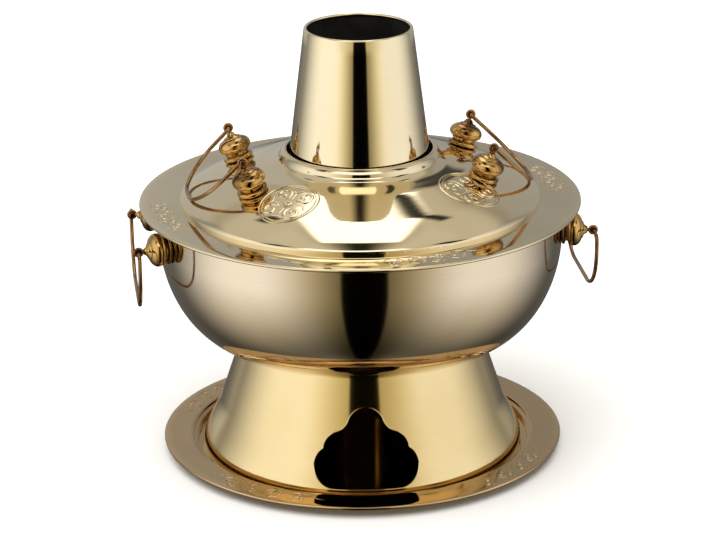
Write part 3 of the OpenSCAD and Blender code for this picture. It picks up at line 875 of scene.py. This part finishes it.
@dataclass
class Medallion:
    """A raised relief on the lid: a double ring round a traditional pattern of four scrolls and a knot."""

    half_w: float = 24.0
    half_h: float = 25.0
    at_r: float = 104.5
    width: float = 3.2
    height: float = 0.9
    ring_w: float = 1.3

    def strokes(self) -> list[list[Point]]:
        """Draws the pattern inside the rings, for a medallion of radius 1.

        Returns:
            Its strokes.
        """
        strokes = [[(0, 0.14), (0.14, 0), (0, -0.14), (-0.14, 0), (0, 0.14)]]
        for quarter in range(4):
            by = 90 * quarter
            strokes.append(turned(spiral((0.42, 0.42), 0.30, 0.06, 225, 1.2), by))
            strokes.append(turned([(0, 0.26), (0, 0.52)], by))
            strokes.append(turned([(-0.20, 0.70), (0, 0.60), (0.20, 0.70)], by))
        return strokes

    def lay(self, bm: bmesh.types.BMesh, line: Meridian, azimuth: float) -> None:
        """Lays the medallion on the lid.

        Args:
            bm: Mesh that takes the ridges.
            line: The lid's outer line.
            azimuth: Angle of the medallion's centre in degrees.
        """
        for scale, width in ((1.0, 1.0), (0.9, 0.6)):
            loop = [(x * self.half_w, y * self.half_h) for x, y in arc((0, 0), scale, 0, 360, 72)[:-1]]
            line.lay(bm, loop, self.at_r, azimuth, self.ring_w * width, self.height * 0.7, looped=True)
        for stroke in self.strokes():
            ridge = [(x * self.half_w, y * self.half_h) for x, y in stroke]
            line.lay(bm, ridge, self.at_r, azimuth, self.width, self.height)


@dataclass
class Lid:
    """The lid that drops over the chimney, with two medallions at the front and a locating skirt inside."""

    seat_z: float = 213.6
    radius: float = 147.0
    hole_r: float = 59.6
    height: float = 42.7
    slope: float = 19.0
    shoulder_w: float = 29.0
    shoulder_h: float = 18.6
    cove_w: float = 24.6
    neck_w: float = 5.8
    wall: float = 1.0
    medallion_azimuths: tuple[float, ...] = (-123.0, -33.0)

    def outline(self) -> list[Point]:
        """Draws the outer line.

        Returns:
            Its points from the edge to the neck's hole.
        """
        fall = math.tan(math.radians(self.slope))
        shoulder_r = self.radius - self.shoulder_w
        neck_r, neck_h = self.hole_r + self.neck_w, self.height - 0.86 * self.neck_w
        cove_r = neck_r + self.cove_w
        cove_h = self.shoulder_h + (shoulder_r - cove_r) * fall
        pull, cove = 0.28 * self.shoulder_w, 0.4 * self.cove_w
        line = [(self.radius, 0.0)]
        line += curve((self.radius, 0.1 * self.shoulder_h), (self.radius - 0.4, 0.38 * self.shoulder_h),
                      (shoulder_r + pull, self.shoulder_h - pull * fall), (shoulder_r, self.shoulder_h), 34)
        line += straight(line[-1], (cove_r, cove_h), 6)[1:]
        line += curve((cove_r, cove_h), (cove_r - cove, cove_h + cove * fall),
                      (neck_r + 0.06 * self.cove_w, neck_h - 0.27 * self.cove_w), (neck_r, neck_h), 28)[1:]
        line += curve((neck_r - 0.1 * self.neck_w, neck_h + 0.2 * self.neck_w),
                      (neck_r - 0.33 * self.neck_w, neck_h + 0.67 * self.neck_w),
                      (self.hole_r + 0.41 * self.neck_w, self.height),
                      (self.hole_r, self.height - 0.1 * self.neck_w), 10)
        return shifted(line, 0, self.seat_z)

    def make(self) -> None:
        """Builds and dresses the lid, its medallions and its skirt."""
        line = self.outline()
        piece("lid_dome", lathe(sheet(line, self.wall), 256), "lid", LID_CHAMPAGNE, ["lid_shell"])
        relief, surface = Medallion(), Meridian(tuple(line))
        bm = bmesh.new()
        for azimuth in self.medallion_azimuths:
            relief.lay(bm, surface, azimuth)
        piece("lid_medallions", bm, "lid", RELIEF_CHAMPAGNE)
        dress("lid_skirt", SKIRT_STEEL)


@dataclass
class Engraving:
    """Shallow chased scrolls on the flat brim and on the tray's flange."""

    width: float = 1.1
    height: float = 0.3
    brim_patches: tuple[float, ...] = (-72.0, 16.0, 108.0, 197.0)
    tray_patches: tuple[float, ...] = (-122.0, -38.0, 55.0, 147.0)
    brim_at_r: float = 163.5
    tray_at_r: float = 153.0
    brim_band: Point = (34.0, 9.5)
    tray_band: Point = (42.0, 8.5)
    curls: int = 4

    def scroll(self, length: float, depth: float) -> list[list[Point]]:
        """A band of curling clouds and waves.

        Args:
            length: Half the band's length in millimetres.
            depth: Half its width.

        Returns:
            The strokes.
        """
        strokes = []
        for i in range(self.curls):
            x = (i - (self.curls - 1) / 2) * 2 * length / self.curls
            hand = 1 if i % 2 else -1
            y = hand * 0.28 * depth
            strokes.append(spiral((x, y), 0.56 * depth, 0.09 * depth, 90 * hand, 1.6 * hand, 30))
            strokes.append(spiral((x + 0.62 * depth, -y), 0.36 * depth, 0.08 * depth, -90 * hand, -1.3 * hand, 22))
            strokes.append(curve((x - 0.9 * depth, -0.1 * hand * depth), (x - 0.4 * depth, -0.9 * hand * depth),
                                 (x + 0.3 * depth, -0.9 * hand * depth), (x + 0.7 * depth, -0.4 * hand * depth), 12))
            strokes.append(curve((x - 0.7 * depth, 0.75 * hand * depth), (x - 0.2 * depth, 1.0 * hand * depth),
                                 (x + 0.3 * depth, 0.95 * hand * depth), (x + 0.8 * depth, 0.55 * hand * depth), 12))
        for side in (-1, 1):
            strokes.append([(side * (length + 0.2 * depth), 0.5 * depth),
                            (side * (length + 0.75 * depth), 0.1 * depth), (side * (length + 1.4 * depth), 0.0)])
        return strokes

    def chase(self, line: Meridian, radius: float, patches: Sequence[float], band: Point) -> bmesh.types.BMesh:
        """Chases the bands of scrolls of one surface.

        Args:
            line: The surface's outer line.
            radius: Radius of the bands' middle.
            patches: Azimuth of each band in degrees.
            band: Half the bands' length and half their width.

        Returns:
            The ridges as one mesh.
        """
        bm = bmesh.new()
        for azimuth in patches:
            for stroke in self.scroll(*band):
                line.lay(bm, stroke, radius, azimuth, self.width, self.height)
        return bm

    def make(self, rim: RimRing, tray: BaseTray) -> None:
        """Chases the brim and the tray's flange.

        Args:
            rim: The brim.
            tray: The tray.
        """
        brim = Meridian(tuple(rim.top()[::-1]))
        piece("brim_chasing", self.chase(brim, self.brim_at_r, self.brim_patches, self.brim_band), "pot",
              BRIM_CHAMPAGNE)
        flange = Meridian(((tray.radius - tray.bead_r, tray.height), (tray.flange_in_r + 1, tray.height)))
        piece("tray_chasing", self.chase(flange, self.tray_at_r, self.tray_patches, self.tray_band), "tray",
              TRAY_BRONZE)


@dataclass
class HandlePosts:
    """The eight posts: lower bead, stepped collar, onion bead and the eyebolt that holds them on."""

    onion_d: float = 27.0
    onion_low: float = 5.0
    onion_up: float = 10.8
    bead_d: float = 25.0
    lid_bead_h: float = 4.8
    bowl_bead_h: float = 3.4
    lid_collar_h: float = 2.4
    bowl_collar_h: float = 1.4
    shank_r: float = 2.0
    bore_r: float = 2.1
    eye_reach: float = 4.6
    eye_wire_r: float = 1.25
    eye_ring_r: float = 2.91
    eye_half_span: float = 48.0
    lid_post_r: float = 103.2
    lid_post_z: float = 237.296
    lid_slope: float = 19.0
    lid_turn: float = 9.0
    lid_spread: float = 25.332
    lid_hinge: tuple[float, float] = (101.398, 263.392)
    bowl_post_r: float = 165.1
    bowl_turn: float = 7.0
    bowl_spread: float = 14.6097
    bowl_hinge: tuple[float, float] = (184.147, 191.3)
    fastener_depth: float = 5.44
    lid_wall: float = 1.0
    bowl_wall: float = 1.2

    def onion(self, z: float) -> list[Point]:
        """Draws the onion bead.

        Args:
            z: Height at which it starts.

        Returns:
            Its outline.
        """
        wide, neck = self.onion_d / 2, self.onion_d / 4
        low, up, belly = self.onion_low, self.onion_up, z + self.onion_low
        line = [(self.bore_r, z), (wide * 0.72, z), (wide * 0.84, z + low * 0.1)]
        line += curve((wide * 0.86, z + low * 0.2), (wide * 0.97, z + low * 0.4), (wide, belly - low * 0.3),
                      (wide, belly), 10)
        line += curve((wide, belly), (wide, belly + up * 0.32), (wide * 0.74, belly + up * 0.54),
                      (neck * 1.09, belly + up * 0.59), 18)[1:]
        line += [(neck * 1.07, belly + up * 0.62), (neck, belly + up * 0.65), (neck * 0.91, belly + up * 0.70),
                 (neck * 0.7, belly + up * 0.72)]
        top = z + low + up
        line += curve(line[-1], (neck * 0.58, belly + up * 0.78), (self.shank_r * 1.5, top - 0.9),
                      (self.shank_r * 1.3, top), 8)[1:]
        return line + [(self.bore_r, top)]

    def bead(self, z: float, h: float) -> list[Point]:
        """Draws the lower bead.

        Args:
            z: Height at which it starts.
            h: Its height.

        Returns:
            Its outline.
        """
        wide = self.bead_d / 2
        line = [(self.bore_r, z), (wide * 0.78, z)]
        belly = (wide, z + h * 0.44)
        line += curve((wide * 0.85, z + h * 0.03), (wide * 0.96, z + h * 0.12), (wide, z + h * 0.26), belly, 10)
        line += curve(belly, (wide, z + h * 0.74), (wide * 0.9, z + h * 0.94), (wide * 0.7, z + h), 12)[1:]
        return line + [(self.bore_r, z + h)]

    def seat(self, on_lid: bool, side: float, way: int) -> Matrix:
        """Where a post stands.

        Args:
            on_lid: True for the lid, False for the bowl.
            side: 0 for the right pair, 180 for the left pair.
            way: 1 or -1 for the post's turn from the middle of its pair.

        Returns:
            The post's place, its axis on Z, in metres.
        """
        if on_lid:
            turn, spread = self.lid_turn, self.lid_spread
            out, up, lean = self.lid_post_r, self.lid_post_z, self.lid_slope
        else:
            turn, spread = self.bowl_turn, self.bowl_spread
            out, up, lean = self.bowl_post_r, self.bowl_hinge[1], 90.0
        return (Matrix.Rotation(math.radians(side + turn + way * spread), 4, "Z")
                @ Matrix.Translation((out * MM, 0, up * MM)) @ Matrix.Rotation(math.radians(lean), 4, "Y"))

    def eyebolt(self, on_lid: bool, side: float, way: int) -> bmesh.types.BMesh:
        """Makes the shank and the eye at its end.

        Args:
            on_lid: True for the lid, False for the bowl.
            side: 0 for the right pair, 180 for the left pair.
            way: 1 or -1 for the post's turn from the middle of its pair.

        Returns:
            The mesh in its place.
        """
        stack = self.onion_low + self.onion_up
        stack += self.lid_collar_h + self.lid_bead_h if on_lid else self.bowl_collar_h + self.bowl_bead_h
        inner = self.fastener_depth + (self.lid_wall if on_lid else self.bowl_wall)
        slim, tip = 0.75 * self.shank_r, stack + self.eye_reach - self.eye_ring_r
        line = [(0.0, -inner), (self.shank_r - 0.3, -inner), (self.shank_r, 0.3 - inner), (self.shank_r, stack - 1),
                (slim, stack - 0.6), (slim, tip), (0.0, tip)]
        shank = moved(lathe(line, 40, closed=False), self.seat(on_lid, side, way))
        eye = bmesh.new()
        x, z = self.lid_hinge if on_lid else self.bowl_hinge
        ring(eye, Vector((x, way * self.eye_half_span, z)) * MM, Vector((0, 1, 0)), self.eye_ring_r * MM,
             self.eye_wire_r * MM)
        turn = side + (self.lid_turn if on_lid else self.bowl_turn)
        moved(eye, Matrix.Rotation(math.radians(turn), 4, "Z"))
        return joined([shank, eye])

    def make(self) -> None:
        """Builds and dresses the eight posts; collars, washers and nuts keep their CAD shapes."""
        corners = (("right_front", 0.0, -1), ("right_rear", 0.0, 1),
                   ("left_front", 180.0, 1), ("left_rear", 180.0, -1))
        for on_lid, where, body in ((True, "lid", "lid"), (False, "bowl", "pot")):
            low = self.lid_bead_h if on_lid else self.bowl_bead_h
            high = low + (self.lid_collar_h if on_lid else self.bowl_collar_h)
            for corner, side, way in corners:
                seat = self.seat(on_lid, side, way)
                beads = (("onion_bead", "onion", self.onion(high)),
                         ("lower_bead", "bead", self.bead(0.05, low - 0.05)))
                for name, node, outline in beads:
                    piece(f"{where}_{name}_{corner}", moved(lathe(outline, 72), seat), body, BEAD_BRASS,
                          [f"{where}_{node}_{corner}"])
                piece(f"{where}_eye_{corner}", self.eyebolt(on_lid, side, way), body, BAIL_COPPER,
                      [f"{where}_eyebolt_{corner}"])
            dress(f"{where}_collars", BEAD_BRASS)
            dress(f"{where}_washers", STEEL)
            dress(f"{where}_nuts", STEEL)


@dataclass(frozen=True)
class BailShape:
    """The bends of one drop handle.

    out is 1 where the legs hang outside the eyes and -1 where they hang between them.
    """

    out: int
    leg: float
    reach: float
    corner_r: float
    bend_r: float


@dataclass
class Bails:
    """The four drop handles of bent wire, with a flattened head beyond each eye."""

    wire_r: float = 1.6
    head_d: float = 4.6
    head_t: float = 1.2
    ring_side: float = 1.85
    lid_rest_angle: float = 45.0
    lid_shape: BailShape = BailShape(-1, 43.85, 55.8, 39.0, 2.3)
    bowl_shape: BailShape = BailShape(1, 64.0, 50.0, 38.0, 6.0)

    def build(self, half_span: float, shape: BailShape) -> bmesh.types.BMesh:
        """One bail hanging straight down from its hinge line, which lies along Y through the origin.

        Args:
            half_span: Half the distance between its two eyes.
            shape: Its bends.

        Returns:
            The mesh in metres.
        """
        tip = half_span - shape.out * (self.ring_side + self.head_t)
        bend = shape.leg - shape.out * shape.bend_r
        half = straight((tip, 0), (bend, 0), 6)
        half += arc((bend, -shape.bend_r), shape.bend_r, 90, 90 - 90 * shape.out, 10)[1:]
        half += straight(half[-1], (shape.leg, shape.corner_r - shape.reach), 5)[1:]
        half += arc((shape.leg - shape.corner_r, shape.corner_r - shape.reach), shape.corner_r, 0, -90, 28)[1:]
        half += straight(half[-1], (0, -shape.reach), 4)[1:]
        whole = half + mirrored(half)[::-1][1:]
        bm = bmesh.new()
        tube(bm, [Vector((0, y, z)) * MM for y, z in whole], self.wire_r * MM, Vector((1, 0, 0)), 24)
        parts = [bm]
        for side in (-1, 1):
            r, t = self.head_d / 2, self.head_t / 2
            head = lathe([(0, -t), (r - 0.3, -t), (r, 0.3 - t), (r, t - 0.3), (r - 0.3, t), (0, t)], 32, closed=False)
            lie = Matrix.Translation((0, side * (tip + shape.out * t) * MM, 0)) @ Matrix.Rotation(math.pi / 2, 4, "X")
            parts.append(moved(head, lie))
        return joined(parts)

    def make(self, posts: HandlePosts) -> None:
        """Builds and dresses the bails on their hinge lines.

        Args:
            posts: The posts that hold them.
        """
        lid = ("lid", posts.lid_turn, posts.lid_hinge, self.lid_rest_angle - 90, self.lid_shape)
        bowl = ("bowl", posts.bowl_turn, posts.bowl_hinge, 0.0, self.bowl_shape)
        for name, side in (("right", 0.0), ("left", 180.0)):
            for where, turn, hinge, swing, shape in (lid, bowl):
                place = (Matrix.Rotation(math.radians(side + turn), 4, "Z")
                         @ Matrix.Translation((hinge[0] * MM, 0, hinge[1] * MM))
                         @ Matrix.Rotation(math.radians(swing), 4, "Y"))
                piece(f"{where}_drop_bail_{name}", moved(self.build(posts.eye_half_span, shape), place),
                      f"{where}_bail_{name}_body", BAIL_COPPER, [f"{where}_bail_{name}"])


# Studio


@dataclass(frozen=True)
class Panel:
    """A soft-edged field of light that only the metal sees.

    Angles in degrees: the bearing is 0 in front, 90 on the right and 180 behind, the height is 90 overhead.
    """

    bearing: float
    half_w: float
    low: float
    high: float
    light: float
    soft: float = 5.0

    def over(self, g: Graph, below: object, bearing: object, height: object) -> bpy.types.NodeSocket:
        """Lays the panel over other light.

        Args:
            g: The node tree's helper.
            below: The light without the panel.
            bearing: Bearing of the place that is lit, in degrees.
            height: Its height in degrees.

        Returns:
            The light with the panel in front of it.
        """
        off = g.math("ABSOLUTE", g.math("WRAP", g.math("SUBTRACT", bearing, self.bearing), 180.0, -180.0))
        mask = g.step(off, self.half_w - self.soft, self.half_w + self.soft, 1.0, 0.0)
        mask = g.math("MULTIPLY", mask, g.step(height, self.low - self.soft, self.low + self.soft))
        mask = g.math("MULTIPLY", mask, g.step(height, self.high - self.soft, self.high + self.soft, 1.0, 0.0))
        return g.mix(mask, below, self.light)


@dataclass(frozen=True)
class Ramp:
    """A value that goes smoothly from start at low to end at high."""

    low: float
    high: float
    start: float = 0.0
    end: float = 1.0

    def of(self, g: Graph, value: object) -> bpy.types.NodeSocket:
        """The ramp's value at a socket's value."""
        return g.step(value, self.low, self.high, self.start, self.end)


@dataclass
class Studio:
    """Plain white floor, soft panels of light and the camera at the photograph's angle."""

    camera_at: tuple[float, float, float] = (0.0, -2.326, 0.981)
    look_down: float = 19.67
    roll: float = -0.58
    lens: float = 150.84
    sensor: float = 36.0
    shift_x: float = -0.00391
    shade: float = 0.92
    gap_at: float = 2.0
    gap_edge: Ramp = Ramp(12.4, 14.0, 0.005, 1.0)
    side_in: float = 4.0
    side_low: Ramp = Ramp(-20.0, -6.0, 66.0, 46.0)
    side_high: Ramp = Ramp(0.0, 18.0, 0.0, 12.0)
    side_start: Ramp = Ramp(-6.0, 16.0, 0.14, 0.54)
    side_light: float = 1.12
    side_fall: Ramp = Ramp(77.0, 144.0, 1.0, 0.12)
    right_fall: Ramp = Ramp(-30.0, 30.0, 1.0, 0.88)
    floor_fall: Ramp = Ramp(-74.0, -6.0, 0.10, 1.0)
    middle: Ramp = Ramp(34.0, 44.0)
    middle_light: float = 0.6
    ceiling: Ramp = Ramp(56.0, 62.0)
    ceiling_light: Ramp = Ramp(0.02, 0.28, 0.02, 0.64)
    hatch: tuple[Ramp, Ramp, Ramp] = (Ramp(0.17, 0.21, 1.0, 0.0), Ramp(0.10, 0.16), Ramp(44.0, 48.0))
    hatch_light: float = 1.9
    upper: tuple[Panel, ...] = (
        Panel(-5, 42, 38, 58, 1.6, 3), Panel(72, 9, 34, 56, 0.05, 3), Panel(-66, 9, 34, 54, 0.10, 3),
        Panel(-155, 25, -8, 40, 0.50, 8), Panel(155, 25, -8, 40, 0.38, 8), Panel(162, 9, 50, 54, 0.02, 1.2),
        Panel(-153, 4, 48, 52, 0.04, 1.2), Panel(169, 3, 22, 38, 0.06, 2))

    def floor(self) -> None:
        """A wide white floor that only the eye and the shadows see."""
        bm = bmesh.new()
        bmesh.ops.create_grid(bm, x_segments=1, y_segments=1, size=9.0)
        mesh = mesh_of("floor", bm)
        mesh.transform(Matrix.Translation((0, 0, -0.0003)))
        floor = linked("floor", mesh)
        material = bpy.data.materials.new("floor_white")
        material.use_nodes = True
        g = Graph(material.node_tree)
        shade = g.add("BsdfDiffuse", {"Color": (self.shade, self.shade, self.shade, 1.0)})
        g.add("OutputMaterial", {"Surface": shade.outputs[0]})
        mesh.materials.append(material)
        floor.visible_glossy = False

    def sides(self, g: Graph, bearing: object, off: object, height: object) -> bpy.types.NodeSocket:
        """Lights two broad panels with a dark gap between them.

        Args:
            g: The node tree's helper.
            bearing: Bearing in degrees.
            off: How far the bearing is from the gap's middle.
            height: Height in degrees.

        Returns:
            The light.
        """
        full = g.math("ADD", self.side_low.of(g, height), self.side_high.of(g, height))
        light = g.step(off, self.side_in, full, self.side_start.of(g, height), self.side_light)
        falls = ((self.side_fall, off), (self.right_fall, bearing), (self.floor_fall, height), (self.gap_edge, off))
        for fall, value in falls:
            light = g.math("MULTIPLY", light, fall.of(g, value))
        return light

    def above(self, g: Graph, light: object, way: Sequence[object], height: object) -> bpy.types.NodeSocket:
        """Lays the dimmer middle, the ceiling and its bright hatch over the panels.

        Args:
            g: The node tree's helper.
            light: The light of the panels.
            way: The direction's X, Y and Z.
            height: Height in degrees.

        Returns:
            The light.
        """
        aside = g.math("ABSOLUTE", way[0])
        light = g.mix(self.middle.of(g, height), light, self.middle_light)
        light = g.mix(self.ceiling.of(g, height), light, self.ceiling_light.of(g, aside))
        across, back, up = self.hatch
        mask = g.math("MULTIPLY", across.of(g, aside), back.of(g, way[1]))
        return g.mix(g.math("MULTIPLY", mask, up.of(g, height)), light, self.hatch_light)

    def sky(self) -> None:
        """White to the eye; to the metal, the panels of the studio in its warm and cream tints."""
        world = bpy.data.worlds.new("studio")
        bpy.context.scene.world = world
        world.use_nodes = True
        g = Graph(world.node_tree)
        way = g.add("SeparateXYZ", {0: g.add("TexCoord").outputs["Generated"]}).outputs
        bearing = g.math("DEGREES", g.math("ARCTAN2", way[0], g.math("MULTIPLY", way[1], -1.0)))
        height = g.math("DEGREES", g.math("ARCSINE", way[2]))
        off = g.math("ABSOLUTE", g.math("SUBTRACT", bearing, self.gap_at))
        light = self.above(g, self.sides(g, bearing, off, height), way, height)
        for panel in self.upper:
            light = panel.over(g, light, bearing, height)
        warm = g.math("MULTIPLY", g.step(off, 10.0, 60.0, 1.0, 0.0), g.step(height, 30.0, 38.0, 1.0, 0.0))
        warm = g.math("MAXIMUM", warm, g.step(height, -60.0, -15.0, 0.5, 0.0))
        tint = g.blend(warm, (1.0, 0.99, 0.97, 1.0), (1.0, 0.85, 0.48, 1.0))
        cream = g.math("MULTIPLY", g.step(height, 30.0, 40.0), g.step(light, 0.8, 1.2, 1.0, 0.0))
        tint = g.blend(cream, tint, (1.0, 0.94, 0.80, 1.0))
        seen = g.add("LightPath").outputs["Is Camera Ray"]
        room = g.add("Background", {"Color": tint, "Strength": light})
        white = g.add("Background", {"Color": (1.0, 1.0, 1.0, 1.0), "Strength": 1.3})
        mix = g.add("MixShader", {0: seen, 1: room.outputs[0], 2: white.outputs[0]})
        g.add("OutputWorld", {"Surface": mix.outputs[0]})

    def lamp(self) -> None:
        """A broad overhead light for the floor, so that the pot stands in a soft shadow."""
        data = bpy.data.lights.new("overhead", "SUN")
        data.energy, data.angle = 2.6, math.radians(75)
        lamp = linked("overhead", data)
        lamp.rotation_euler = (math.radians(12), math.radians(-8), 0)
        lamp.visible_glossy = False

    def camera(self) -> None:
        """The camera at the photograph's angle."""
        data = bpy.data.cameras.new("camera")
        data.lens, data.sensor_width, data.shift_x = self.lens, self.sensor, self.shift_x
        camera = linked("camera", data)
        turn = Matrix.Rotation(math.radians(90 - self.look_down), 4, "X")
        turn = turn @ Matrix.Rotation(math.radians(self.roll), 4, "Z")
        camera.matrix_world = Matrix.Translation(self.camera_at) @ turn
        bpy.context.scene.camera = camera
        bpy.context.scene.view_settings.view_transform = "Standard"

    def make(self) -> None:
        """Sets up the studio."""
        self.floor()
        self.sky()
        self.lamp()
        self.camera()


def main() -> None:
    """Builds the pot from the tray up, then the studio."""
    studio, tray, rim, posts = Studio(), BaseTray(), RimRing(), HandlePosts()
    studio.make()
    tray.make()
    Foot().make()
    Bowl().make()
    rim.make()
    Chimney().make()
    Lid().make()
    Engraving().make(rim, tray)
    posts.make()
    Bails().make(posts)


if __name__ == "__main__":
    main()
